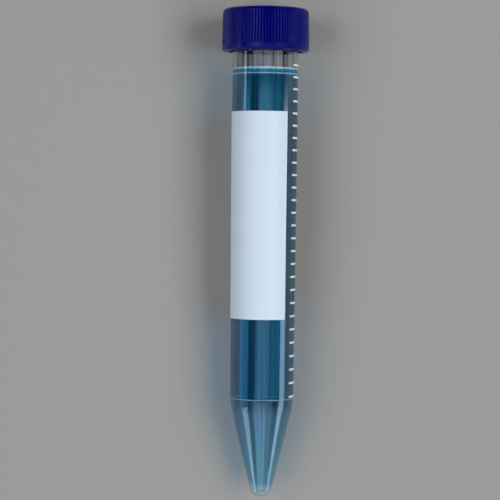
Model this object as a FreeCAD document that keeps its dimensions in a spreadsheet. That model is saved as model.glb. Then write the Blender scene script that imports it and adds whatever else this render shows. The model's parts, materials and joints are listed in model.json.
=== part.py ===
import FreeCAD, Part
import math
import os
import Sketcher

# A 15 ml conical tube with its screw cap, filled and closed, lying on its side.
#
# Each sub-part is drawn upright in its own frame: Z along the tube's axis, the tip's
# lowest point at Z = 0 and -Y towards the reader. One shared placement then lays every
# piece down with the cap towards +Y, so that the tube rests on the cap's skirt and on
# the ring at its shoulder. Millimetres and degrees throughout.

Vector = FreeCAD.Vector

SIZES = [
    # The clear tube, moulded in one piece
    ("tube_length", 117.6, "tip to mouth rim"),
    ("neck_radius", 8.1, "outside of the plain neck, a true cylinder"),
    ("neck_length", 21.6, "rim down to where the wall's draft begins"),
    ("mouth_rise", 0.20, "how far the threaded mouth stands out of the plain neck"),
    ("mouth_length", 8.4, "rim down to the step between mouth and plain neck"),
    ("mouth_wall", 0.90, "wall at the rim"),
    ("lip_bevel", 0.20, "bevel of the rim's two edges"),
    ("shoulder_height", 23.0, "where the cone's line meets the wall's"),
    ("shoulder_radius", 7.8, "outside of the wall at the shoulder"),
    ("shoulder_wall", 0.95, "wall at the shoulder"),
    ("shoulder_round", 26.0, "blend between wall and cone"),
    ("ring_rise", 1.2, "mould ring above the shoulder"),
    ("ring_proud", 0.07, "how far the mould ring's edge stands out of the wall's line"),
    ("ring_depth", 0.20, "how deep its section is sunk below that line"),
    ("ring_width", 0.60, "its section's width at that depth"),
    ("tip_radius", 2.3, "cone's line at the tip, outside"),
    ("tip_round", 2.30, "outer rounding of the tip"),
    ("tip_wall", 1.40, "thickness under the lowest point"),
    ("well_radius", 1.35, "cone's line at the well's floor, inside"),
    ("well_round", 1.60, "inner rounding of the well"),
    # The screw thread, shared by neck and cap
    ("thread_pitch", 3.0, "rise in one turn"),
    ("thread_turns", 1.5, "turns of each ridge"),
    ("thread_below_rim", 1.5, "rim to the middle of the neck ridge's upper end"),
    ("thread_height", 0.70, "how far a ridge stands out"),
    ("thread_root", 1.40, "ridge's width at its root"),
    ("thread_crest", 0.60, "ridge's width at its crest"),
    ("thread_bite", 0.30, "how deep a ridge's profile is sunk in its wall"),
    ("thread_side_play", 0.10, "gap between the flanks, along the axis"),
    ("thread_radial_play", 0.26, "gap between a crest and the opposite wall"),
    # The screw cap, moulded in one piece
    ("cap_wall", 1.51, "thickness of the skirt at its lower edge, between the roots"),
    ("cap_draft", 0.20, "how much narrower the cap is at its top than at its edge"),
    ("cap_roof", 1.30, "thickness of the top"),
    ("cap_top_round", 0.90, "rounding of the top edge"),
    ("cap_skirt_bevel", 0.40, "bevel of the skirt's outer edge"),
    ("skirt_below_thread", 0.43, "lower end of the cap's ridge to the skirt's edge"),
    ("band_height", 1.5, "smooth band under the grip grooves"),
    ("groove_count", 90, "grip grooves round the cap"),
    ("groove_depth", 0.25, "depth of a groove"),
    ("groove_width", 0.42, "width of a groove at the cap's surface"),
    ("groove_margin", 0.10, "upper end of the grooves to the start of the top's rounding"),
    # The sealing disc between rim and cap
    ("seal_thickness", 1.0, "thickness of the disc"),
    ("seal_play", 0.05, "gap above and below the disc"),
    ("seal_side_play", 0.25, "gap between the disc and the cap's bore"),
    # The contents
    ("fill_height", 105.3, "tip to the liquid's surface"),
    ("liquid_film", 0.05, "gap between the liquid's solid and the wall"),
    # The write-on label
    ("label_width", 25.4, "round the tube"),
    ("label_height", 50.8, "along the tube"),
    ("label_thickness", 0.10, "face film with its adhesive"),
    ("label_bottom", 43.8, "tip to the label's lower edge"),
    ("label_gap", 0.02, "gap between label and wall"),
    ("label_turn", -48.5, "label's middle, from the front towards the right"),
]

# Derived lengths, written as expressions of the sizes above
THREAD_RISE = "(sizes.thread_pitch * sizes.thread_turns)"
NECK_THREAD_START = f"(sizes.tube_length - sizes.thread_below_rim - {THREAD_RISE})"
# The ridges lie flank to flank: this is the drop from the neck's ridge to the cap's
THREAD_DROP = (
    "(sizes.thread_root - (sizes.thread_root - sizes.thread_crest) / 2"
    " * (sizes.thread_height + sizes.thread_radial_play) / sizes.thread_height"
    " + sizes.thread_side_play)"
)
CAP_THREAD_START = f"({NECK_THREAD_START} - {THREAD_DROP})"
NECK_BASE = "(sizes.tube_length - sizes.neck_length)"
NECK_STEP = "(sizes.tube_length - sizes.mouth_length)"
MOUTH_RADIUS = "(sizes.neck_radius + sizes.mouth_rise)"
CAP_BORE = f"({MOUTH_RADIUS} + sizes.thread_height + sizes.thread_radial_play)"
CAP_SKIRT_RADIUS = f"({CAP_BORE} + sizes.cap_wall)"
CAP_TOP_RADIUS = f"({CAP_SKIRT_RADIUS} - sizes.cap_draft)"
SEAL_BOTTOM = "(sizes.tube_length + sizes.seal_play)"
SEAL_TOP = f"({SEAL_BOTTOM} + sizes.seal_thickness)"
CAP_CEILING = f"({SEAL_TOP} + sizes.seal_play)"
CAP_TOP = f"({CAP_CEILING} + sizes.cap_roof)"
CAP_EDGE = f"({CAP_THREAD_START} - sizes.thread_root / 2 - sizes.skirt_below_thread)"
BAND_TOP = f"({CAP_EDGE} + sizes.band_height)"
GROOVE_TOP = f"({CAP_TOP} - sizes.cap_top_round - sizes.groove_margin)"
SKIRT_CORNER = f"({CAP_EDGE} + sizes.cap_skirt_bevel)"
RING_HEIGHT = "(sizes.shoulder_height + sizes.ring_rise)"
LABEL_TOP = "(sizes.label_bottom + sizes.label_height)"


def along_line(height, low_radius, low, high_radius, high):
    """The radius, at a height, of a straight taper between two radii."""
    return f"({low_radius} + ({high_radius} - {low_radius}) * ({height} - {low}) / ({high} - {low}))"


def wall_outside(height):
    """The tube wall's outer radius below the neck: it is drafted, wider at the neck."""
    return along_line(height, "sizes.shoulder_radius", "sizes.shoulder_height",
                      "sizes.neck_radius", NECK_BASE)


def wall_inside(height):
    """The tube wall's inner radius, with more draft than the outside."""
    return along_line(height,
                      "(sizes.shoulder_radius - sizes.shoulder_wall)", "sizes.shoulder_height",
                      f"({MOUTH_RADIUS} - sizes.mouth_wall)", "sizes.tube_length")


def cap_outside(height):
    """The cap's outer radius over its crests: drafted, wider at the skirt."""
    return along_line(height, CAP_SKIRT_RADIUS, CAP_EDGE, CAP_TOP_RADIUS, CAP_TOP)


def make_sheet(doc):
    """The driving dimensions, one alias each."""
    sheet = doc.addObject("Spreadsheet::Sheet", "sizes")
    for row, (name, value, meaning) in enumerate(SIZES, start=1):
        sheet.set(f"A{row}", name)
        sheet.set(f"B{row}", str(value))
        sheet.setAlias(f"B{row}", name)
        sheet.set(f"C{row}", meaning)
    doc.recompute()
    return sheet


def make_body(doc, name):
    """An empty body, labelled as its node."""
    body = doc.addObject("PartDesign::Body", name)
    body.Label = name
    return body


def origin_item(body, role):
    """The body's own origin plane or axis with this role."""
    return next(item for item in body.Origin.OriginFeatures if item.Role == role)


def new_sketch(body, name, plane="XZ_Plane"):
    sketch = body.newObject("Sketcher::SketchObject", name)
    sketch.AttachmentSupport = (origin_item(body, plane), "")
    sketch.MapMode = "FlatFace"
    return sketch


def bind(sketch, constraint, name, expression):
    """Add a constraint and drive it by an expression of the sheet."""
    index = sketch.addConstraint(constraint)
    sketch.renameConstraint(index, name)
    sketch.setExpression(f"Constraints.{name}", expression)


def corner_arc(before, corner, after, radius):
    """The two tangent points, the centre and the turn of a rounded corner."""
    arriving = (corner - before).normalize()
    leaving = (after - corner).normalize()
    turn = arriving.x * leaving.y - arriving.y * leaving.x
    reach = radius * math.tan(arriving.getAngle(leaving) / 2)
    start = corner - arriving * reach
    end = corner + leaving * reach
    side = math.copysign(1, turn)
    centre = start + Vector(-arriving.y, arriving.x, 0) * radius * side
    return start, end, centre, side


def draw_outline(sketch, corners):
    """A closed outline of straight lines with some corners rounded.

    Each corner is (across, along) or (across, along, rounding), all expressions. The
    corner points stay in the sketch as construction points, placed by the sheet.
    """
    places = [Vector(*(float(sketch.evalExpression(e)) for e in c[:2]), 0) for c in corners]
    count = len(corners)
    arcs = {}
    for i, corner in enumerate(corners):
        if len(corner) == 3:
            radius = float(sketch.evalExpression(corner[2]))
            arcs[i] = corner_arc(places[i - 1], places[i], places[(i + 1) % count], radius), radius
    lines = []
    for i in range(count):
        following = (i + 1) % count
        start = arcs[i][0][1] if i in arcs else places[i]
        end = arcs[following][0][0] if following in arcs else places[following]
        lines.append(sketch.addGeometry(Part.LineSegment(start, end)))
    for i, corner in enumerate(corners):
        arriving, leaving = lines[i - 1], lines[i]
        if i not in arcs:
            sketch.addConstraint(Sketcher.Constraint("Coincident", arriving, 2, leaving, 1))
            place, point = leaving, 1
        else:
            (start, end, centre, side), radius = arcs[i]
            first, last = (start, end) if side > 0 else (end, start)
            begin = math.atan2(first.y - centre.y, first.x - centre.x)
            stop = math.atan2(last.y - centre.y, last.x - centre.x)
            circle = Part.Circle(centre, Vector(0, 0, 1), radius)
            arc = sketch.addGeometry(Part.ArcOfCircle(circle, begin, stop))
            near, far = (1, 2) if side > 0 else (2, 1)
            sketch.addConstraint(Sketcher.Constraint("Tangent", arriving, 2, arc, near))
            sketch.addConstraint(Sketcher.Constraint("Tangent", arc, far, leaving, 1))
            bind(sketch, Sketcher.Constraint("Radius", arc, radius), f"rounding_{i}", corner[2])
            place, point = sketch.addGeometry(Part.Point(places[i]), True), 1
            sketch.addConstraint(Sketcher.Constraint("PointOnObject", place, point, arriving))
            sketch.addConstraint(Sketcher.Constraint("PointOnObject", place, point, leaving))
        for kind, value, expression in (("DistanceX", places[i].x, corner[0]),
                                        ("DistanceY", places[i].y, corner[1])):
            distance = Sketcher.Constraint(kind, -1, 1, place, point, value)
            bind(sketch, distance, f"{kind}_{i}", expression)


def revolve(body, name, corners, kind="PartDesign::Revolution", angle="360"):
    """Turn an outline, drawn across the axis and along it, round the body's Z axis."""
    sketch = new_sketch(body, f"{name}_section")
    draw_outline(sketch, corners)
    feature = body.newObject(kind, name)
    feature.Profile = sketch
    feature.ReferenceAxis = (sketch, ["V_Axis"])
    feature.setExpression("Angle", angle)
    body.Tip = feature
    return feature, sketch


def add_thread(body, root, inward, start):
    """A right-hand ridge on a wall of this radius, a helix of the shared pitch and turns."""
    crest = f"({root} {'-' if inward else '+'} sizes.thread_height)"
    sunk = f"({root} {'+' if inward else '-'} sizes.thread_bite)"
    sketch = new_sketch(body, f"{body.Name}_thread_section")
    draw_outline(sketch, [
        (sunk, f"{start} - sizes.thread_root / 2"),
        (root, f"{start} - sizes.thread_root / 2"),
        (crest, f"{start} - sizes.thread_crest / 2"),
        (crest, f"{start} + sizes.thread_crest / 2"),
        (root, f"{start} + sizes.thread_root / 2"),
        (sunk, f"{start} + sizes.thread_root / 2"),
    ])
    helix = body.newObject("PartDesign::AdditiveHelix", f"{body.Name}_thread")
    helix.Profile = sketch
    helix.ReferenceAxis = (sketch, ["V_Axis"])
    helix.Mode = "pitch-turns-angle"
    helix.setExpression("Pitch", "sizes.thread_pitch")
    helix.setExpression("Turns", "sizes.thread_turns")
    body.Tip = helix


def make_tube(doc):
    """The clear moulding: domed tip, cone, drafted wall, and the threaded neck.

    The fine ring above the shoulder is where the mould's parts for wall and cone meet.
    """
    body = make_body(doc, "tube_body")
    inner_shoulder = "sizes.shoulder_radius - sizes.shoulder_wall"
    lip = "(sizes.tube_length - sizes.lip_bevel)"
    ring_line = wall_outside(RING_HEIGHT)
    revolve(body, "wall", [
        ("0", "0"),
        ("sizes.tip_radius", "0", "sizes.tip_round"),
        ("sizes.shoulder_radius", "sizes.shoulder_height", "sizes.shoulder_round"),
        ("sizes.neck_radius", NECK_BASE),
        ("sizes.neck_radius", NECK_STEP),
        (MOUTH_RADIUS, f"{NECK_STEP} + sizes.mouth_rise"),
        (MOUTH_RADIUS, lip),
        (f"{MOUTH_RADIUS} - sizes.lip_bevel", "sizes.tube_length"),
        (f"{MOUTH_RADIUS} - sizes.mouth_wall + sizes.lip_bevel", "sizes.tube_length"),
        (wall_inside(lip), lip),
        (inner_shoulder, "sizes.shoulder_height", "sizes.shoulder_round"),
        ("sizes.well_radius", "sizes.tip_wall", "sizes.well_round"),
        ("0", "sizes.tip_wall"),
    ])
    revolve(body, "ring", [
        (f"{ring_line} - sizes.ring_depth", f"{RING_HEIGHT} - sizes.ring_width / 2"),
        (f"{ring_line} + sizes.ring_proud", RING_HEIGHT),
        (f"{ring_line} - sizes.ring_depth", f"{RING_HEIGHT} + sizes.ring_width / 2"),
    ])
    add_thread(body, MOUTH_RADIUS, False, NECK_THREAD_START)
    return body


def make_cap(doc):
    """The screw cap: drafted skirt, flat top, inner thread and grip grooves."""
    body = make_body(doc, "screw_cap")
    revolve(body, "shell", [
        ("0", CAP_CEILING),
        (CAP_BORE, CAP_CEILING),
        (CAP_BORE, CAP_EDGE),
        (f"{CAP_SKIRT_RADIUS} - sizes.cap_skirt_bevel", CAP_EDGE),
        (cap_outside(SKIRT_CORNER), SKIRT_CORNER),
        (CAP_TOP_RADIUS, CAP_TOP, "sizes.cap_top_round"),
        ("0", CAP_TOP),
    ])
    add_thread(body, CAP_BORE, True, CAP_THREAD_START)
    # One V groove follows the drafted side from the smooth band to the top's rounding
    ends = []
    for name, height in (("groove_low", BAND_TOP), ("groove_high", GROOVE_TOP)):
        sketch = new_sketch(body, name, "XY_Plane")
        sketch.setExpression("AttachmentOffset.Base.z", height)
        surface = cap_outside(height)
        # The V's sides carry on past the surface to twice its depth
        draw_outline(sketch, [
            (f"{surface} - sizes.groove_depth", "0"),
            (f"{surface} + sizes.groove_depth", "-sizes.groove_width"),
            (f"{surface} + sizes.groove_depth", "sizes.groove_width"),
        ])
        ends.append(sketch)
    groove = body.newObject("PartDesign::SubtractiveLoft", "groove")
    groove.Profile = ends[0]
    groove.Sections = [ends[1]]
    groove.Ruled = True
    body.Tip = groove
    doc.recompute()
    grooves = body.newObject("PartDesign::PolarPattern", "grooves")
    grooves.Originals = [groove]
    grooves.Axis = (origin_item(body, "Z_Axis"), [""])
    grooves.Angle = 360
    grooves.setExpression("Occurrences", "sizes.groove_count")
    body.Tip = grooves
    return body


def make_seal(doc):
    """The soft disc that the cap presses on the rim."""
    body = make_body(doc, "seal_disc")
    radius = f"{CAP_BORE} - sizes.seal_side_play"
    revolve(body, "disc", [
        ("0", SEAL_BOTTOM),
        (radius, SEAL_BOTTOM),
        (radius, SEAL_TOP),
        ("0", SEAL_TOP),
    ])
    return body


def make_liquid(doc):
    """The contents: the tube's inner form up to a flat surface across the axis."""
    body = make_body(doc, "liquid")
    surface_radius = wall_inside("sizes.fill_height")
    revolve(body, "contents", [
        ("0", "sizes.tip_wall + sizes.liquid_film"),
        ("sizes.well_radius - sizes.liquid_film", "sizes.tip_wall + sizes.liquid_film",
         "sizes.well_round - sizes.liquid_film"),
        ("sizes.shoulder_radius - sizes.shoulder_wall - sizes.liquid_film", "sizes.shoulder_height",
         "sizes.shoulder_round - sizes.liquid_film"),
        (f"{surface_radius} - sizes.liquid_film", "sizes.fill_height"),
        ("0", "sizes.fill_height"),
    ])
    return body


def make_label(doc):
    """The white label, wrapped part of the way round the drafted wall."""
    body = make_body(doc, "write_on_label")
    low = f"{wall_outside('sizes.label_bottom')} + sizes.label_gap"
    high = f"{wall_outside(LABEL_TOP)} + sizes.label_gap"
    middle = wall_outside("(sizes.label_bottom + sizes.label_height / 2)")
    feature, sketch = revolve(body, "label", [
        (low, "sizes.label_bottom"),
        (f"{low} + sizes.label_thickness", "sizes.label_bottom"),
        (f"{high} + sizes.label_thickness", LABEL_TOP),
        (high, LABEL_TOP),
    ], angle=f"sizes.label_width / {middle} * 180 / pi")
    feature.Midplane = True
    sketch.AttachmentOffset = FreeCAD.Placement(Vector(), FreeCAD.Rotation(Vector(0, 1, 0), -90))
    sketch.setExpression("AttachmentOffset.Rotation.Angle", "sizes.label_turn - 90")
    return body


def lay_down(bodies):
    """Lay the closed tube on its side: on the skirt's corner and the shoulder ring."""
    ring_radius = f"({wall_outside(RING_HEIGHT)} + sizes.ring_proud)"
    slope = f"atan(({cap_outside(SKIRT_CORNER)} - {ring_radius}) / ({SKIRT_CORNER} - {RING_HEIGHT}))"
    top_reach = (f"(({CAP_TOP_RADIUS} - sizes.cap_top_round) * sin({slope})"
                 f" + ({CAP_TOP} - sizes.cap_top_round) * cos({slope}) + sizes.cap_top_round)")
    for body in bodies:
        body.Placement = FreeCAD.Placement(Vector(), FreeCAD.Rotation(Vector(1, 0, 0), -90))
        body.setExpression("Placement.Rotation.Angle", f"{slope} - 90 deg")
        body.setExpression("Placement.Base.y", f"-{top_reach} / 2")
        body.setExpression("Placement.Base.z",
                           f"{ring_radius} * cos({slope}) - {RING_HEIGHT} * sin({slope})")


def check(doc, bodies):
    """Stop on a failed feature, a loose sketch or a bad solid."""
    for item in doc.Objects:
        if "Invalid" in item.State or "Error" in item.State:
            raise RuntimeError(f"{item.Name} failed: {item.State}")
        if item.TypeId == "Sketcher::SketchObject" and not item.FullyConstrained:
            raise RuntimeError(f"{item.Name} isn't fully constrained")
    for body in bodies:
        shape = body.Shape
        if shape.isNull() or not shape.isValid() or len(shape.Solids) != 1:
            raise RuntimeError(f"{body.Label} isn't one valid solid")


def main():
    doc = FreeCAD.newDocument("conical_tube")
    make_sheet(doc)
    bodies = [make_tube(doc), make_cap(doc), make_seal(doc), make_liquid(doc), make_label(doc)]
    lay_down(bodies)
    doc.recompute()
    check(doc, bodies)
    os.makedirs("parts", exist_ok=True)
    for body in bodies:
        body.Shape.exportStep(f"parts/{body.Label}.step")
        print(f"{body.Label}: {body.Shape.Volume:.1f} mm3")


main()
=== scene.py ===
"""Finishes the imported 15 ml conical tube as an add-on would: clear wall, blue liquid,
write-on label, printed scale and ribbed screw cap, on a plain pale floor."""

import json
import math

import bpy
from bpy.props import FloatProperty, FloatVectorProperty, IntProperty, PointerProperty
from mathutils import Matrix, Vector


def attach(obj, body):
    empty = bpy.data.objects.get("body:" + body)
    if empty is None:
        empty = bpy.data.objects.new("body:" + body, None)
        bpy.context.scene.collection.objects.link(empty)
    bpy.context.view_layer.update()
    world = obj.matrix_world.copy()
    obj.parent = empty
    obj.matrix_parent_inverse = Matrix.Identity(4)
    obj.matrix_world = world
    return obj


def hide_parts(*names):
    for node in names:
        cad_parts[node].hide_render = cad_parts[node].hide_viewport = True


bl_info = {
    "name": "Conical Tube, 15 ml",
    "version": (1, 0, 0),
    "blender": (4, 5, 0),
    "location": "3D View > Sidebar > Conical Tube",
    "description": "Finishes a 15 ml conical tube with its liquid, label, scale and cap",
    "category": "Object",
}

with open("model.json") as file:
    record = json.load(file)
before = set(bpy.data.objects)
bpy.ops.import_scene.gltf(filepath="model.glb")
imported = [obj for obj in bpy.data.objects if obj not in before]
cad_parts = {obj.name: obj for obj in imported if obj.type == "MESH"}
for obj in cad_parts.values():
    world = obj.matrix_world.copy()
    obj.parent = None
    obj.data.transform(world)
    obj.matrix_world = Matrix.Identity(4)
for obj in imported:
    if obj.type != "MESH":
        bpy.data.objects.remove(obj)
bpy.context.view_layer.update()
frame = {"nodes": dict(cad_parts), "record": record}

MM = 0.001
NODES = frame["nodes"]
MOUNTS = {m["name"]: m for m in frame["record"]["mounts"]}

# The tube's own frame: it is modelled upright, tip at the origin and facing -Y, and then laid down.
CLOSED_LENGTH = 120.0 * MM
ALONG = Vector(MOUNTS["cap_top"]["axis"]).normalized()
SIDE = Vector((1.0, 0.0, 0.0))
FRONT = SIDE.cross(ALONG)
TIP = Vector(MOUNTS["cap_top"]["pos_m"]) - CLOSED_LENGTH * ALONG
LAID = Matrix.Translation(TIP) @ Matrix((SIDE, -FRONT, ALONG)).transposed().to_4x4()

# Heights above the tip, radii and roundings of the tube's wall and bore.
SHOULDER_HEIGHT = 23.0 * MM
SHOULDER_RADIUS = 7.8 * MM
NECK_HEIGHT = 96.0 * MM
NECK_RADIUS = 8.1 * MM
BORE_AT_SHOULDER = 6.85 * MM
BORE_AT_RIM = 7.40 * MM
RIM_HEIGHT = 117.6 * MM
WELL_HEIGHT = 1.4 * MM
WELL_RADIUS = 1.35 * MM
WELL_ROUND = 1.6 * MM
SHOULDER_ROUND = 26.0 * MM
RING_HEIGHT = 24.2 * MM

# The liquid is sunk this far into the wall, so that no gap shows between them.
HIDDEN_OVERLAP = 0.03 * MM

# The liquid's creep up the wall falls off over this length, and its outline has points at these
# distances from the wall.
CREEP_LENGTH = 1.5 * MM
CREEP_POINTS = [away * MM for away in (0.1, 0.25, 0.45, 0.7, 1.0, 1.4, 1.9, 2.5, 3.3, 4.4, 5.8)]

# The scale's marks, counted in half millilitres: 1.5 to 14.5 ml. The bore that they are spaced by
# is the modelled one with an allowance. Marks and the curves of numerals are made in few steps.
MARKS = range(3, 30)
FIRST_MARK_HEIGHT = 24.8 * MM
HALF_MILLILITRE = 500.0 * MM**3
SCALE_BORE_ALLOWANCE = 0.048 * MM
MARK_STEPS = 10
INK_LIFT = 0.02 * MM
NUMERAL_GAP = math.radians(6.0)
NUMERAL_STEPS = 3

# Vertices nearer than this to each other are merged.
MERGE_GAP = 0.002 * MM

POLYSTYRENE_IOR = 1.59
POLYETHYLENE_IOR = 1.51
WATER_IOR = 1.33

# What the clear pieces let through to lamps and soft light.
WALL_SHADE = (0.93, 0.95, 0.96)
LIQUID_SHADE = (0.45, 0.80, 0.95)

# The streaks that run along the wall: the scale and stretch of their pattern, the values between
# which it turns clear, a streak's tint as a share of the wall's, and its height.
STREAK_SCALE = 1500.0
STREAK_STRETCH = 0.012
STREAK_CONTRAST = (0.36, 0.58)
STREAK_TONE = 0.38
STREAK_HEIGHT = 0.1 * MM

# A pale soft band is painted on the mould ring and at the tip as painted highlights: it keeps its
# share up to the first distance, from the ring's middle or above the tip, and has faded out at the
# second.
RING_HIGHLIGHT = (0.03 * MM, 0.13 * MM)
RING_HIGHLIGHT_SHARE = 0.5
TIP_HIGHLIGHT = (0.6 * MM, 3.6 * MM)
TIP_HIGHLIGHT_SHARE = 0.24

# The dye's density per metre, and the share of light that it scatters everywhere.
DYE_DENSITY = 420.0
DYE_SCATTER = 0.09

# On the film that creeps up the wall, a painted sheen is added to the dye's scatter: its share rises
# over this height from the surface, and from the first radius to the second.
FILM_SHEEN = 0.40
FILM_RISE = 0.3 * MM
FILM_RADII = (6.2 * MM, 6.9 * MM)

# The painted highlights, pale lines just under the film's upper edge and at the surface: half width
# and share.
EDGE_LINE_DROP = 0.15 * MM
EDGE_LINE = (0.50 * MM, 0.75)
SURFACE_LINE = (0.28 * MM, 0.60)

# The cone's painted glow, a pale soft light in the liquid's narrow end, fades out between these
# heights.
GLOW_END = (SHOULDER_HEIGHT - 3.0 * MM, SHOULDER_HEIGHT + 0.5 * MM)
GLOW_SHARE = 0.17

# The broad pattern of a surface's marks has this share of the fine one's scale.
BROAD_SHARE = 0.12


def wall_radius(height):
    """The wall's outer radius at a height between shoulder and neck."""
    share = (height - SHOULDER_HEIGHT) / (NECK_HEIGHT - SHOULDER_HEIGHT)
    return SHOULDER_RADIUS + (NECK_RADIUS - SHOULDER_RADIUS) * share


def bore_radius(height):
    """The wall's inner radius at a height between shoulder and rim."""
    share = (height - SHOULDER_HEIGHT) / (RIM_HEIGHT - SHOULDER_HEIGHT)
    return BORE_AT_SHOULDER + (BORE_AT_RIM - BORE_AT_SHOULDER) * share


# ---------------------------------------------------------------- sizes and colours to change


class TubeSizes(bpy.types.PropertyGroup):
    """Sizes of what is added to the moulded parts."""

    fill_height: FloatProperty(
        name="Fill height",
        description="Height of the liquid's surface above the tip",
        default=103.9 * MM,
        unit="LENGTH",
    )
    meniscus: FloatProperty(
        name="Meniscus",
        description="How far the liquid creeps up the wall",
        default=1.5 * MM,
        unit="LENGTH",
    )
    turned_sides: IntProperty(
        name="Turned sides",
        description="Faces round a turned piece",
        default=96,
        min=24,
    )
    mark_thickness: FloatProperty(
        name="Mark thickness",
        description="Thickness of a printed line along the tube",
        default=0.50 * MM,
        unit="LENGTH",
    )
    mark_start: FloatProperty(
        name="Mark start",
        description="Angle from the tube's front at which every mark starts",
        default=math.radians(58.0),
        subtype="ANGLE",
    )
    short_mark: FloatProperty(
        name="Short mark",
        description="Angle that a half-millilitre mark spans",
        default=math.radians(26.0),
        subtype="ANGLE",
    )
    long_mark: FloatProperty(
        name="Long mark",
        description="Angle that a whole-millilitre mark spans",
        default=math.radians(44.0),
        subtype="ANGLE",
    )
    numeral_height: FloatProperty(
        name="Numeral height",
        description="Height of the scale's numerals",
        default=2.2 * MM,
        unit="LENGTH",
    )
    ink_thickness: FloatProperty(
        name="Ink thickness",
        description="How far the ink stands on the wall",
        default=0.03 * MM,
        unit="LENGTH",
    )


class TubeColours(bpy.types.PropertyGroup):
    """Colours of the finishes."""

    plastic: FloatVectorProperty(
        name="Clear plastic",
        description="Tint of the clear wall",
        default=(0.97, 0.985, 1.0),
        subtype="COLOR",
        min=0.0,
        max=1.0,
    )
    # The colour of the painted highlights on the mould ring and at the tip.
    scuffs: FloatVectorProperty(
        name="Ring and tip highlight",
        description="Colour of the scuffed mould ring and tip",
        default=(0.62, 0.80, 0.90),
        subtype="COLOR",
        min=0.0,
        max=1.0,
    )
    liquid: FloatVectorProperty(
        name="Liquid",
        description="Colour that the liquid lets through",
        default=(0.0, 0.83, 0.91),
        subtype="COLOR",
        min=0.0,
        max=1.0,
    )
    scatter: FloatVectorProperty(
        name="Scattered light",
        description="Colour of the light that the liquid's dye scatters",
        default=(0.0, 0.29, 0.60),
        subtype="COLOR",
        min=0.0,
        max=1.0,
    )
    # The colour of the painted highlights round the liquid's surface.
    wet_edge: FloatVectorProperty(
        name="Meniscus highlight",
        description="Colour of the pale lines round the liquid's surface",
        default=(0.50, 0.70, 0.80),
        subtype="COLOR",
        min=0.0,
        max=1.0,
    )
    # The colour of the cone's painted glow.
    cone_glow: FloatVectorProperty(
        name="Cone glow",
        description="Colour of the light that gathers in the liquid's narrow end",
        default=(0.22, 0.52, 0.72),
        subtype="COLOR",
        min=0.0,
        max=1.0,
    )
    cap: FloatVectorProperty(
        name="Cap",
        description="Colour of the screw cap",
        default=(0.0, 0.0, 0.15),
        subtype="COLOR",
        min=0.0,
        max=1.0,
    )
    label: FloatVectorProperty(
        name="Label",
        description="Colour of the write-on label",
        default=(0.64, 0.75, 0.86),
        subtype="COLOR",
        min=0.0,
        max=1.0,
    )
    ink: FloatVectorProperty(
        name="Ink",
        description="Colour of the printed scale",
        default=(0.85, 0.90, 0.93),
        subtype="COLOR",
        min=0.0,
        max=1.0,
    )
    seal: FloatVectorProperty(
        name="Seal",
        description="Colour of the cap's seal disc",
        default=(0.72, 0.71, 0.66),
        subtype="COLOR",
        min=0.0,
        max=1.0,
    )
    floor: FloatVectorProperty(
        name="Floor",
        description="Colour of the floor",
        default=(0.34, 0.34, 0.335),
        subtype="COLOR",
        min=0.0,
        max=1.0,
    )


# ---------------------------------------------------------------- modelling helpers


def clear_selection():
    """Leaves nothing selected, so that the next operator acts on its own piece."""
    if bpy.context.mode != "OBJECT":
        bpy.ops.object.mode_set(mode="OBJECT")
    bpy.ops.object.select_all(action="DESELECT")


def pick(*pieces):
    """Selects these pieces alone and makes the first one active."""
    clear_selection()
    for piece in pieces:
        piece.select_set(True)
    bpy.context.view_layer.objects.active = pieces[0]


def arc_corner(before, corner, after, radius, steps):
    """Points of the arc that rounds a corner of an outline."""
    here = Vector(corner)
    back = (Vector(before) - here).normalized()
    ahead = (Vector(after) - here).normalized()
    half = back.angle(ahead) / 2
    middle = here + (back + ahead).normalized() * radius / math.sin(half)
    start = here + back * radius / math.tan(half) - middle
    end = here + ahead * radius / math.tan(half) - middle
    sweep = start.angle(end)
    points = []
    for i in range(steps + 1):
        t = i / steps
        turned = (start * math.sin((1 - t) * sweep) + end * math.sin(t * sweep)) / math.sin(sweep)
        points.append(tuple(middle + turned))
    return points


def turned_piece(name, outline, sides):
    """Spins an outline of (radius, height) points round the tube's axis into a closed skin."""
    clear_selection()
    bpy.ops.mesh.primitive_plane_add(size=MM, location=(outline[0][0], 0.0, outline[0][1]))
    piece = bpy.context.object
    piece.name = piece.data.name = name
    bpy.ops.object.transform_apply(location=True)
    bpy.ops.object.mode_set(mode="EDIT")
    bpy.ops.mesh.select_all(action="SELECT")
    bpy.ops.mesh.merge(type="CENTER")
    for (r0, z0), (r1, z1) in zip(outline, outline[1:]):
        step = {"value": (r1 - r0, 0.0, z1 - z0)}
        bpy.ops.mesh.extrude_vertices_move(TRANSFORM_OT_translate=step)
    bpy.ops.mesh.select_all(action="SELECT")
    bpy.ops.mesh.spin(steps=sides, angle=math.tau, center=(0, 0, 0), axis=(0, 0, 1))
    bpy.ops.mesh.select_all(action="SELECT")
    bpy.ops.mesh.remove_doubles(threshold=MERGE_GAP)
    bpy.ops.mesh.normals_make_consistent(inside=False)
    bpy.ops.object.mode_set(mode="OBJECT")
    return piece


def lay_down(piece):
    """Puts an upright piece where the tube lies and bakes its place into its mesh."""
    pick(piece)
    piece.matrix_world = LAID @ piece.matrix_world
    bpy.ops.object.transform_apply(location=True, rotation=True, scale=True)


def smooth(piece, degrees):
    """Shades a piece smooth, apart from edges sharper than an angle."""
    pick(piece)
    bpy.ops.object.shade_smooth_by_angle(angle=math.radians(degrees))


# ---------------------------------------------------------------- material helpers


def new_material(name):
    """A material with an output and nothing else, and its node tree."""
    material = bpy.data.materials.new(name)
    material.use_nodes = True
    tree = material.node_tree
    tree.nodes.clear()
    return material, tree, tree.nodes.new("ShaderNodeOutputMaterial")


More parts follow.
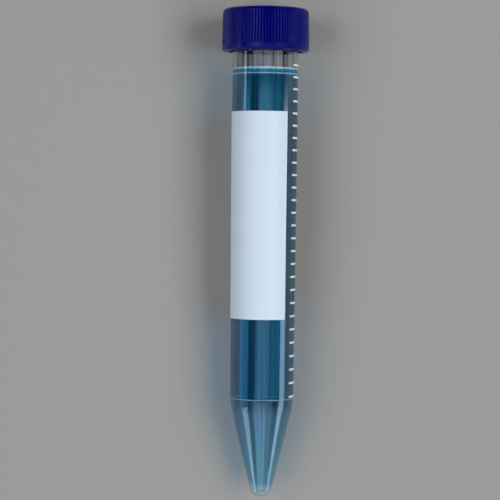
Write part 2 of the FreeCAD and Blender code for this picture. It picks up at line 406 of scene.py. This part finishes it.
def add_node(tree, kind, inputs=None, **settings):
    """A node with its settings and its plain inputs or links."""
    node = tree.nodes.new(kind)
    for key, value in settings.items():
        setattr(node, key, value)
    for key, value in (inputs or {}).items():
        if isinstance(value, bpy.types.NodeSocket):
            tree.links.new(value, node.inputs[key])
        else:
            node.inputs[key].default_value = value
    return node


def maths(tree, operation, *values):
    """A calculation on plain values or links."""
    return add_node(tree, "ShaderNodeMath", dict(enumerate(values)), operation=operation).outputs[0]


def vector_maths(tree, operation, *values):
    """A calculation on vectors, which gives a vector, or a length or dot product."""
    node = add_node(tree, "ShaderNodeVectorMath", dict(enumerate(values)), operation=operation)
    return node.outputs["Value" if operation in ("DOT_PRODUCT", "LENGTH") else "Vector"]


def ramp(tree, value, between, result, kind="LINEAR"):
    """Runs from the first result to the second while a value runs between two others."""
    inputs = {
        "Value": value,
        "From Min": between[0],
        "From Max": between[1],
        "To Min": result[0],
        "To Max": result[1],
    }
    return add_node(tree, "ShaderNodeMapRange", inputs, interpolation_type=kind).outputs[0]


def distance(tree, value, middle):
    """How far a value is from another, either way."""
    return maths(tree, "ABSOLUTE", maths(tree, "SUBTRACT", value, middle))


def from_tip(tree):
    """The vector from the tip to the point that is shaded."""
    place = add_node(tree, "ShaderNodeTexCoord").outputs["Object"]
    return vector_maths(tree, "SUBTRACT", place, TIP)


def along_axis(tree):
    """The height above the tip, at the point that is shaded."""
    return vector_maths(tree, "DOT_PRODUCT", from_tip(tree), ALONG)


def off_axis(tree):
    """The distance from the tube's axis, at the point that is shaded."""
    return vector_maths(tree, "LENGTH", vector_maths(tree, "CROSS_PRODUCT", from_tip(tree), ALONG))


def opaque(colour):
    """A colour as the four values that a colour socket takes."""
    return (*colour, 1.0)


def toned(tree, share, colour, dark):
    """A colour that is darker by a factor where a share is nothing, and itself where it is full."""
    inputs = {"Factor": share, 6: opaque([c * dark for c in colour]), 7: opaque(colour)}
    return add_node(tree, "ShaderNodeMix", inputs, data_type="RGBA").outputs[2]


def bump(tree, height, strength, depth):
    """The normal of a surface with a fine height."""
    inputs = {"Height": height, "Strength": strength, "Distance": depth}
    return add_node(tree, "ShaderNodeBump", inputs).outputs[0]


def scattering(tree, share, clear, colour):
    """A clear shader that scatters a share of the light in one colour."""
    soft = add_node(tree, "ShaderNodeBsdfDiffuse", {"Color": opaque(colour)}).outputs[0]
    return add_node(tree, "ShaderNodeMixShader", {0: share, 1: clear, 2: soft}).outputs[0]


def opaque_surface(tree, output, inputs):
    """An opaque shader with these inputs, joined to the material's output."""
    surface = add_node(tree, "ShaderNodeBsdfPrincipled", inputs).outputs[0]
    tree.links.new(surface, output.inputs["Surface"])


def drawn_streaks():
    """The node group of fine streaks that run from the tip to the rim, along wall and cone."""
    group = bpy.data.node_groups.get("Drawn Streaks")
    if group:
        return group
    group = bpy.data.node_groups.new("Drawn Streaks", "ShaderNodeTree")
    socket = group.interface.new_socket("Scale", in_out="INPUT", socket_type="NodeSocketFloat")
    socket.default_value = STREAK_SCALE
    group.interface.new_socket("Height", in_out="OUTPUT", socket_type="NodeSocketFloat")
    inside = group.nodes.new("NodeGroupInput").outputs
    outside = group.nodes.new("NodeGroupOutput")
    place = from_tip(group)
    aside = vector_maths(group, "NORMALIZE", vector_maths(group, "CROSS_PRODUCT", place, ALONG))
    level = vector_maths(group, "DOT_PRODUCT", place, STREAK_STRETCH * ALONG)
    level = add_node(group, "ShaderNodeCombineXYZ", {"Y": level}).outputs[0]
    spot = vector_maths(group, "MULTIPLY_ADD", aside, (NECK_RADIUS,) * 3, level)
    pattern = {"Vector": spot, "Scale": inside["Scale"], "Detail": 3.0}
    lines = add_node(group, "ShaderNodeTexNoise", pattern).outputs["Fac"]
    group.links.new(lines, outside.inputs["Height"])
    return group


def surface_marks():
    """The node group of fine surface variation: uneven gloss, a fine height and a tone."""
    group = bpy.data.node_groups.get("Surface Marks")
    if group:
        return group
    group = bpy.data.node_groups.new("Surface Marks", "ShaderNodeTree")
    for name, default in (("Scale", 900.0), ("Stretch", 1.0), ("Roughness", 0.2), ("Spread", 0.1)):
        socket = group.interface.new_socket(name, in_out="INPUT", socket_type="NodeSocketFloat")
        socket.default_value = default
    for name in ("Roughness", "Height", "Tone"):
        group.interface.new_socket(name, in_out="OUTPUT", socket_type="NodeSocketFloat")
    inside = group.nodes.new("NodeGroupInput").outputs
    outside = group.nodes.new("NodeGroupOutput")
    place = add_node(group, "ShaderNodeTexCoord").outputs["Object"]
    ratio = add_node(group, "ShaderNodeCombineXYZ", {"X": 1.0, "Y": inside["Stretch"], "Z": 1.0})
    drawn = vector_maths(group, "MULTIPLY", place, ratio.outputs[0])
    pattern = {"Vector": drawn, "Scale": inside["Scale"], "Detail": 4.0}
    fine = add_node(group, "ShaderNodeTexNoise", pattern).outputs["Fac"]
    coarse = maths(group, "MULTIPLY", inside["Scale"], BROAD_SHARE)
    pattern = {"Vector": drawn, "Scale": coarse, "Detail": 3.0}
    broad = add_node(group, "ShaderNodeTexNoise", pattern).outputs["Fac"]
    centred = maths(group, "SUBTRACT", maths(group, "ADD", fine, broad), 1.0)
    spread = maths(group, "MULTIPLY", centred, inside["Spread"])
    gloss = add_node(
        group, "ShaderNodeMath", {0: inside["Roughness"], 1: spread}, operation="ADD", use_clamp=True
    ).outputs[0]
    group.links.new(gloss, outside.inputs["Roughness"])
    group.links.new(fine, outside.inputs["Height"])
    group.links.new(broad, outside.inputs["Tone"])
    return group


def marks_node(tree, scale, stretch, roughness, spread):
    """Surface Marks, placed in a material with its own values."""
    inputs = {"Scale": scale, "Stretch": stretch, "Roughness": roughness, "Spread": spread}
    return add_node(tree, "ShaderNodeGroup", inputs, node_tree=surface_marks()).outputs


def let_lamps_through(tree, clear, shade, output):
    """Makes a clear shader pass lamps' rays and soft light straight on, tinted."""
    path = add_node(tree, "ShaderNodeLightPath").outputs
    either = maths(tree, "MAXIMUM", path["Is Shadow Ray"], path["Is Diffuse Ray"])
    straight = add_node(tree, "ShaderNodeBsdfTransparent", {"Color": opaque(shade)}).outputs[0]
    mix = add_node(tree, "ShaderNodeMixShader", {0: either, 1: clear, 2: straight})
    tree.links.new(mix.outputs[0], output.inputs["Surface"])


def dress(piece, material):
    """Gives a piece one material all over."""
    piece.data.materials.clear()
    piece.data.materials.append(material)


# ---------------------------------------------------------------- the pieces


class TUBE_OT_wall(bpy.types.Operator):
    """Gives the moulded tube its clear, glossy polystyrene"""

    bl_idname = "tube.wall"
    bl_label = "Clear Wall"

    def execute(self, context):
        colours = context.scene.tube_colours
        material, tree, output = new_material("clear_polystyrene")
        marks = marks_node(tree, scale=900.0, stretch=0.3, roughness=0.02, spread=0.03)
        streaks = add_node(
            tree, "ShaderNodeGroup", {"Scale": STREAK_SCALE}, node_tree=drawn_streaks()
        ).outputs[0]
        clear = ramp(tree, streaks, STREAK_CONTRAST, (0.0, 1.0), "SMOOTHSTEP")
        glass = add_node(
            tree,
            "ShaderNodeBsdfPrincipled",
            {
                "Base Color": toned(tree, clear, colours.plastic, dark=STREAK_TONE),
                "Roughness": marks["Roughness"],
                "Normal": bump(tree, streaks, strength=0.15, depth=STREAK_HEIGHT),
                "IOR": POLYSTYRENE_IOR,
                "Transmission Weight": 1.0,
            },
        ).outputs[0]
        # A pale soft band painted on the mould ring and at the tip: painted highlights.
        height = along_axis(tree)
        off_ring = distance(tree, height, RING_HEIGHT)
        on_ring = ramp(tree, off_ring, RING_HIGHLIGHT, (RING_HIGHLIGHT_SHARE, 0.0))
        at_tip = ramp(tree, height, TIP_HIGHLIGHT, (TIP_HIGHLIGHT_SHARE, 0.0))
        highlighted = maths(tree, "MAXIMUM", on_ring, at_tip)
        wall = scattering(tree, highlighted, glass, colours.scuffs)
        let_lamps_through(tree, wall, WALL_SHADE, output)
        dress(NODES["tube_body"], material)
        return {"FINISHED"}


class TUBE_OT_liquid(bpy.types.Operator):
    """Pours the clear blue liquid: it wets the bore and creeps up the wall at its surface"""

    bl_idname = "tube.liquid"
    bl_label = "Liquid"

    def execute(self, context):
        sizes, colours = context.scene.tube_sizes, context.scene.tube_colours
        fill = sizes.fill_height
        cone_top = (BORE_AT_SHOULDER, SHOULDER_HEIGHT)
        well = (WELL_RADIUS, WELL_HEIGHT)
        rim = (bore_radius(fill), fill + sizes.meniscus)
        outline = [(0.0, WELL_HEIGHT)]
        outline += arc_corner((0.0, WELL_HEIGHT), well, cone_top, WELL_ROUND, steps=12)
        outline += arc_corner(well, cone_top, rim, SHOULDER_ROUND, steps=8)
        outline.append(rim)
        skin = [(r + HIDDEN_OVERLAP if r > 0.0 else 0.0, z) for r, z in outline]
        skin[0] = (0.0, WELL_HEIGHT - HIDDEN_OVERLAP)
        for away in CREEP_POINTS:
            rise = sizes.meniscus * math.exp(-away / CREEP_LENGTH)
            skin.append((rim[0] - away, fill + rise))
        skin.append((0.0, fill))
        piece = turned_piece("liquid_fill", skin, sizes.turned_sides)
        lay_down(piece)
        smooth(piece, degrees=50.0)
        material, tree, output = new_material("blue_liquid")
        water = add_node(
            tree,
            "ShaderNodeBsdfPrincipled",
            {
                "Base Color": opaque((1.0, 1.0, 1.0)),
                "Roughness": 0.0,
                "IOR": WATER_IOR,
                "Transmission Weight": 1.0,
            },
        ).outputs[0]
        surface = self.scattered_light(tree, water, sizes, colours)
        let_lamps_through(tree, surface, LIQUID_SHADE, output)
        dye = add_node(
            tree,
            "ShaderNodeVolumeAbsorption",
            {"Color": opaque(colours.liquid), "Density": DYE_DENSITY},
        )
        tree.links.new(dye.outputs[0], output.inputs["Volume"])
        dress(piece, material)
        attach(piece, "tube")
        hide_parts("liquid")
        return {"FINISHED"}

    def scattered_light(self, tree, water, sizes, colours):
        """Adds soft light to clear water: the dye's scatter, and painted light: a sheen on the film,
        two pale lines and the cone's glow.
        """
        height = along_axis(tree)
        fill = sizes.fill_height
        # A painted sheen on the film near the surface, added to the dye's scatter.
        on_wall = ramp(tree, off_axis(tree), FILM_RADII, (0.0, 1.0))
        film_sheen = ramp(tree, height, (fill, fill + FILM_RISE), (0.0, FILM_SHEEN))
        film_sheen = maths(tree, "MULTIPLY", film_sheen, on_wall)
        dye_and_film_sheen = scattering(tree, maths(tree, "ADD", film_sheen, DYE_SCATTER), water, colours.scatter)

        # Two painted highlights: pale lines just under the film's upper edge and at the surface.
        lines = []
        edge = fill + sizes.meniscus - EDGE_LINE_DROP
        for middle, (half_width, share) in ((edge, EDGE_LINE), (fill, SURFACE_LINE)):
            off_line = distance(tree, height, middle)
            lines.append(ramp(tree, off_line, (0.0, half_width), (share, 0.0), "SMOOTHSTEP"))
        pale = maths(tree, "MULTIPLY", maths(tree, "MAXIMUM", *lines), on_wall)
        edged = scattering(tree, pale, dye_and_film_sheen, colours.wet_edge)

        # The cone's painted glow.
        in_cone = ramp(tree, height, GLOW_END, (GLOW_SHARE, 0.0), "SMOOTHSTEP")
        return scattering(tree, in_cone, edged, colours.cone_glow)


class TUBE_OT_label(bpy.types.Operator):
    """Gives the write-on label its coated white paper"""

    bl_idname = "tube.label"
    bl_label = "Label"

    def execute(self, context):
        colours = context.scene.tube_colours
        material, tree, output = new_material("coated_paper")
        marks = marks_node(tree, scale=2600.0, stretch=0.7, roughness=0.38, spread=0.10)
        paper = {
            "Base Color": toned(tree, marks["Tone"], colours.label, dark=0.97),
            "Roughness": marks["Roughness"],
            "Normal": bump(tree, marks["Height"], strength=0.15, depth=0.02 * MM),
        }
        opaque_surface(tree, output, paper)
        dress(NODES["write_on_label"], material)
        return {"FINISHED"}


class TUBE_OT_scale(bpy.types.Operator):
    """Prints the volume scale: half-millilitre marks with numerals at whole millilitres"""

    bl_idname = "tube.scale"
    bl_label = "Scale"

    def execute(self, context):
        sizes, colours = context.scene.tube_sizes, context.scene.tube_colours
        strips = {
            False: self.strip("short_mark", sizes, sizes.short_mark),
            True: self.strip("long_mark", sizes, sizes.long_mark),
        }
        printed = []
        height = FIRST_MARK_HEIGHT
        for halves in MARKS:
            whole = halves % 2 == 0
            clear_selection()
            copy = strips[whole].copy()
            copy.data = strips[whole].data.copy()
            context.scene.collection.objects.link(copy)
            widen = wall_radius(height) / NECK_RADIUS
            copy.location, copy.scale = (0.0, 0.0, height), (widen, widen, 1.0)
            printed.append(copy)
            if whole:
                printed.append(self.numeral(halves // 2, height, sizes))
            bore = bore_radius(height) + SCALE_BORE_ALLOWANCE
            height += HALF_MILLILITRE / (math.pi * bore**2)
        for original in strips.values():
            bpy.data.objects.remove(original)
        pick(*printed)
        bpy.ops.object.transform_apply(location=True, rotation=True, scale=True)
        bpy.ops.object.join()
        piece = context.object
        piece.name = piece.data.name = "volume_scale"
        lay_down(piece)
        smooth(piece, degrees=40.0)
        material, tree, output = new_material("white_ink")
        marks = marks_node(tree, scale=3000.0, stretch=1.0, roughness=0.45, spread=0.2)
        ink = {
            "Base Color": toned(tree, marks["Tone"], colours.ink, dark=0.9),
            "Roughness": marks["Roughness"],
        }
        opaque_surface(tree, output, ink)
        dress(piece, material)
        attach(piece, "tube")
        return {"FINISHED"}

    def strip(self, name, sizes, span):
        """One printed line, spun round the wall from the side where the scale starts."""
        clear_selection()
        reach = NECK_RADIUS + INK_LIFT
        turn = sizes.mark_start
        start = (reach * math.sin(turn), -reach * math.cos(turn), -sizes.mark_thickness / 2)
        bpy.ops.mesh.primitive_plane_add(size=MM, location=start)
        line = bpy.context.object
        line.name = line.data.name = name
        bpy.ops.object.transform_apply(location=True)
        bpy.ops.object.mode_set(mode="EDIT")
        bpy.ops.mesh.select_all(action="SELECT")
        bpy.ops.mesh.merge(type="CENTER")
        rise = {"value": (0.0, 0.0, sizes.mark_thickness)}
        bpy.ops.mesh.extrude_vertices_move(TRANSFORM_OT_translate=rise)
        bpy.ops.mesh.select_all(action="SELECT")
        bpy.ops.mesh.spin(steps=MARK_STEPS, angle=-span, center=(0, 0, 0), axis=(0, 0, 1))
        bpy.ops.mesh.select_all(action="SELECT")
        bpy.ops.mesh.remove_doubles(threshold=MERGE_GAP)
        bpy.ops.object.mode_set(mode="OBJECT")
        self.thicken(line, sizes.ink_thickness)
        return line

    def thicken(self, print_piece, thickness):
        """Gives flat ink its thickness and turns every face outwards."""
        pick(print_piece)
        coat = print_piece.modifiers.new("coat", "SOLIDIFY")
        coat.thickness, coat.offset = thickness, 0.0
        bpy.ops.object.modifier_apply(modifier=coat.name)
        bpy.ops.object.mode_set(mode="EDIT")
        bpy.ops.mesh.select_all(action="SELECT")
        bpy.ops.mesh.normals_make_consistent(inside=False)
        bpy.ops.object.mode_set(mode="OBJECT")

    def numeral(self, number, height, sizes):
        """A numeral beyond the end of its mark, wrapped round the wall."""
        clear_selection()
        bpy.ops.object.text_add()
        text = bpy.context.object
        text.data.body, text.data.size = str(number), sizes.numeral_height
        text.data.align_y = "CENTER"
        text.data.resolution_u = NUMERAL_STEPS
        bpy.ops.object.convert(target="MESH")
        piece = bpy.context.object
        bpy.ops.object.mode_set(mode="EDIT")
        bpy.ops.mesh.select_all(action="SELECT")
        bpy.ops.mesh.remove_doubles(threshold=MERGE_GAP)
        bpy.ops.object.mode_set(mode="OBJECT")
        reach = wall_radius(height) + INK_LIFT
        start = sizes.mark_start + sizes.long_mark + NUMERAL_GAP
        for vertex in piece.data.vertices:
            turn = start + vertex.co.x / reach
            vertex.co = (reach * math.sin(turn), -reach * math.cos(turn), height + vertex.co.y)
        self.thicken(piece, sizes.ink_thickness)
        return piece


class TUBE_OT_cap(bpy.types.Operator):
    """Gives the ribbed cap its blue polyethylene and the seal disc its soft elastomer"""

    bl_idname = "tube.cap"
    bl_label = "Cap and Seal"

    def execute(self, context):
        colours = context.scene.tube_colours
        material, tree, output = new_material("blue_polyethylene")
        marks = marks_node(tree, scale=2600.0, stretch=0.6, roughness=0.20, spread=0.30)
        plastic = {
            "Base Color": toned(tree, marks["Tone"], colours.cap, dark=0.85),
            "Roughness": marks["Roughness"],
            "Normal": bump(tree, marks["Height"], strength=0.55, depth=0.08 * MM),
            "IOR": POLYETHYLENE_IOR,
            "Specular IOR Level": 0.2,
        }
        opaque_surface(tree, output, plastic)
        dress(NODES["screw_cap"], material)

        material, tree, output = new_material("soft_seal")
        marks = marks_node(tree, scale=1800.0, stretch=1.0, roughness=0.65, spread=0.15)
        elastomer = {
            "Base Color": toned(tree, marks["Tone"], colours.seal, dark=0.9),
            "Roughness": marks["Roughness"],
        }
        opaque_surface(tree, output, elastomer)
        dress(NODES["seal_disc"], material)
        return {"FINISHED"}


# ---------------------------------------------------------------- the stage


FLOOR_SIZE = 6.0

# The world is brightest at the horizon and fades upwards, with more light from beyond the tip. A
# fade runs between two values of the upward or lengthwise part of a direction, and two strengths.
WORLD_TINT = (1.0, 0.99, 0.97)
HORIZON_FADE = (0.0, 0.3)
HORIZON_STRENGTH = (0.30, 0.04)
FOOT_FADE = (-0.25, -0.5)
FOOT_STRENGTH = (0.0, 0.2)

# Each lamp has an angle from the tube's front in degrees, a height along the tube, a distance, a
# width and a length in metres, a power, the share of its half width that fades, and a tint.
# Soft lamps light what is matt and don't show in gloss.
SOFT_LAMPS = {
    "key": (40.0, 0.06, 2.4, 1.5, 2.1, 61.0, 0.5, (1.0, 0.99, 0.98)),
    "fill": (-38.0, 0.06, 2.7, 2.1, 2.7, 56.0, 0.5, (1.0, 0.99, 0.98)),
}

# Cards show in gloss alone and light nothing else: they draw the bands on wall, neck and cap.
GLOSS_CARDS = {
    "right_card": (77.5, -0.143, 0.45, 0.17, 0.554, 1.40, 0.08, (0.50, 0.78, 1.0)),
    "left_card": (-70.0, -0.003, 0.45, 0.34, 0.274, 0.64, 0.4, (0.08, 0.50, 1.0)),
    "front_card": (2.0, -0.01, 0.60, 0.70, 0.31, 1.55, 0.5, (0.22, 0.66, 1.0)),
    "side_card": (45.0, -0.01, 0.60, 0.46, 0.31, 0.60, 0.5, (0.08, 0.62, 1.0)),
    "foot_card": (0.0, -0.375, 0.60, 1.20, 0.42, 2.80, 0.8, (0.45, 0.74, 1.0)),
    "left_foot": (-70.0, -0.26, 0.45, 0.30, 0.40, 1.80, 0.8, (0.46, 0.76, 1.0)),
    "tip_card": (0.0, -0.80, 0.30, 0.50, 0.40, 2.60, 0.6, (0.80, 0.92, 1.0)),
    "neck_left": (-26.0, 0.153, 0.60, 0.40, 0.018, 0.044, 0.3, (0.93, 0.90, 1.0)),
    "neck_front": (10.0, 0.153, 0.60, 0.40, 0.018, 0.044, 0.3, (0.93, 0.90, 1.0)),
    "neck_right": (46.0, 0.153, 0.60, 0.40, 0.018, 0.050, 0.3, (0.93, 0.90, 1.0)),
    "neck_streak": (-74.0, 0.132, 0.45, 0.08, 0.088, 0.085, 0.9, (0.9, 0.96, 1.0)),
    "cap_glint": (-26.0, 0.171, 0.50, 0.42, 0.036, 0.17, 0.6, (0.85, 0.90, 1.0)),
}

# The share of a lamp's half length that fades.
END_FADE = 0.12

# The camera stands in front of the tube at this height along it, and is turned a little off square.
CAMERA_HEIGHT = 73.5 * MM
CAMERA_DISTANCE = 480.0 * MM
CAMERA_YAW = math.radians(0.41)
CAMERA_ROLL = math.radians(0.65)
SENSOR_WIDTH = 36.0
FOCAL_LENGTH = 140.0
FRAME_SHIFT = -0.105


def soft_light(name, degrees, height, away, width, length, power, side_fade, tint, in_gloss):
    """A rectangular lamp facing the tube, long along it and fading towards its edges."""
    lamp = bpy.data.lights.new(name, "AREA")
    lamp.shape = "RECTANGLE"
    lamp.size, lamp.size_y = width, length
    lamp.energy, lamp.color = power, tint
    lamp.use_nodes = True
    tree = lamp.node_tree
    spot = add_node(tree, "ShaderNodeNewGeometry").outputs["Parametric"]
    places = add_node(tree, "ShaderNodeSeparateXYZ", {0: spot}).outputs
    fades = []
    for place, share in zip(places, (side_fade, END_FADE)):
        off_middle = distance(tree, place, 0.5)
        fades.append(ramp(tree, off_middle, (0.5 - share / 2, 0.5), (1.0, 0.0), "SMOOTHSTEP"))
    tree.links.new(maths(tree, "MULTIPLY", *fades), tree.nodes["Emission"].inputs["Strength"])
    holder = bpy.data.objects.new(name, lamp)
    bpy.context.scene.collection.objects.link(holder)
    turn = math.radians(degrees)
    out = FRONT * math.cos(turn) + SIDE * math.sin(turn)
    facing = Matrix((ALONG.cross(out), ALONG, out)).transposed().to_4x4()
    holder.matrix_world = Matrix.Translation(TIP + height * ALONG + away * out) @ facing
    holder.visible_glossy, holder.visible_diffuse = in_gloss, not in_gloss
    holder.visible_transmission = False


class TUBE_OT_stage(bpy.types.Operator):
    """Sets the plain pale floor, the soft studio light and the camera"""

    bl_idname = "tube.stage"
    bl_label = "Stage"

    def execute(self, context):
        scene = context.scene
        self.floor(scene.tube_colours.floor)
        scene.world = self.studio()
        for lamps, in_gloss in ((SOFT_LAMPS, False), (GLOSS_CARDS, True)):
            for name, values in lamps.items():
                soft_light(name, *values, in_gloss)
        scene.view_settings.view_transform = "Standard"
        scene.camera = self.camera()
        return {"FINISHED"}

    def floor(self, colour):
        """A plain matt floor under the tube."""
        clear_selection()
        bpy.ops.mesh.primitive_plane_add(size=FLOOR_SIZE, location=(0.0, 0.0, 0.0))
        floor = bpy.context.object
        floor.name = "floor"
        material, tree, output = new_material("plain_floor")
        matt = {"Base Color": opaque(colour), "Roughness": 0.9, "Specular IOR Level": 0.1}
        opaque_surface(tree, output, matt)
        dress(floor, material)

    def studio(self):
        """The world: a plain soft light with a brighter horizon."""
        world = bpy.data.worlds.new("studio")
        world.use_nodes = True
        tree = world.node_tree
        look = add_node(tree, "ShaderNodeTexCoord").outputs["Generated"]
        way = add_node(tree, "ShaderNodeSeparateXYZ", {0: look}).outputs
        horizon = ramp(tree, way["Z"], HORIZON_FADE, HORIZON_STRENGTH)
        foot = ramp(tree, way["Y"], FOOT_FADE, FOOT_STRENGTH)
        sky = tree.nodes["Background"].inputs
        tree.links.new(maths(tree, "ADD", horizon, foot), sky["Strength"])
        sky["Color"].default_value = opaque(WORLD_TINT)
        return world

    def camera(self):
        """A long lens that looks down at the tube's front from straight above it."""
        lens = bpy.data.cameras.new("camera")
        lens.sensor_width, lens.lens = SENSOR_WIDTH, FOCAL_LENGTH
        lens.shift_y = FRAME_SHIFT
        lens.clip_start, lens.clip_end = 0.01, 20.0
        camera = bpy.data.objects.new("camera", lens)
        bpy.context.scene.collection.objects.link(camera)
        stand = TIP + CAMERA_HEIGHT * ALONG + CAMERA_DISTANCE * FRONT
        level = Matrix((SIDE, ALONG, FRONT)).transposed().to_4x4()
        turned = Matrix.Rotation(CAMERA_YAW, 4, "Y") @ Matrix.Rotation(CAMERA_ROLL, 4, "Z")
        camera.matrix_world = Matrix.Translation(stand) @ level @ turned
        return camera


class TUBE_PT_panel(bpy.types.Panel):
    """Lists the tube's steps, sizes and colours in the sidebar"""

    bl_label = "Conical Tube"
    bl_idname = "TUBE_PT_panel"
    bl_space_type = "VIEW_3D"
    bl_region_type = "UI"
    bl_category = "Conical Tube"

    def draw(self, context):
        for step in STEPS:
            self.layout.operator(step.bl_idname)
        for group in (context.scene.tube_sizes, context.scene.tube_colours):
            box = self.layout.box()
            for name in group.bl_rna.properties.keys():
                if name not in ("name", "rna_type"):
                    box.prop(group, name)


STEPS = (TUBE_OT_stage, TUBE_OT_wall, TUBE_OT_liquid, TUBE_OT_label, TUBE_OT_scale, TUBE_OT_cap)
CLASSES = (TubeSizes, TubeColours, *STEPS, TUBE_PT_panel)


def register():
    for kind in CLASSES:
        bpy.utils.register_class(kind)
    bpy.types.Scene.tube_sizes = PointerProperty(type=TubeSizes)
    bpy.types.Scene.tube_colours = PointerProperty(type=TubeColours)


def unregister():
    del bpy.types.Scene.tube_sizes
    del bpy.types.Scene.tube_colours
    for kind in reversed(CLASSES):
        bpy.utils.unregister_class(kind)


def main():
    """Registers the add-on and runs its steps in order."""
    register()
    for step in STEPS:
        group, name = step.bl_idname.split(".")
        getattr(getattr(bpy.ops, group), name)()


if __name__ == "__main__":
    main()
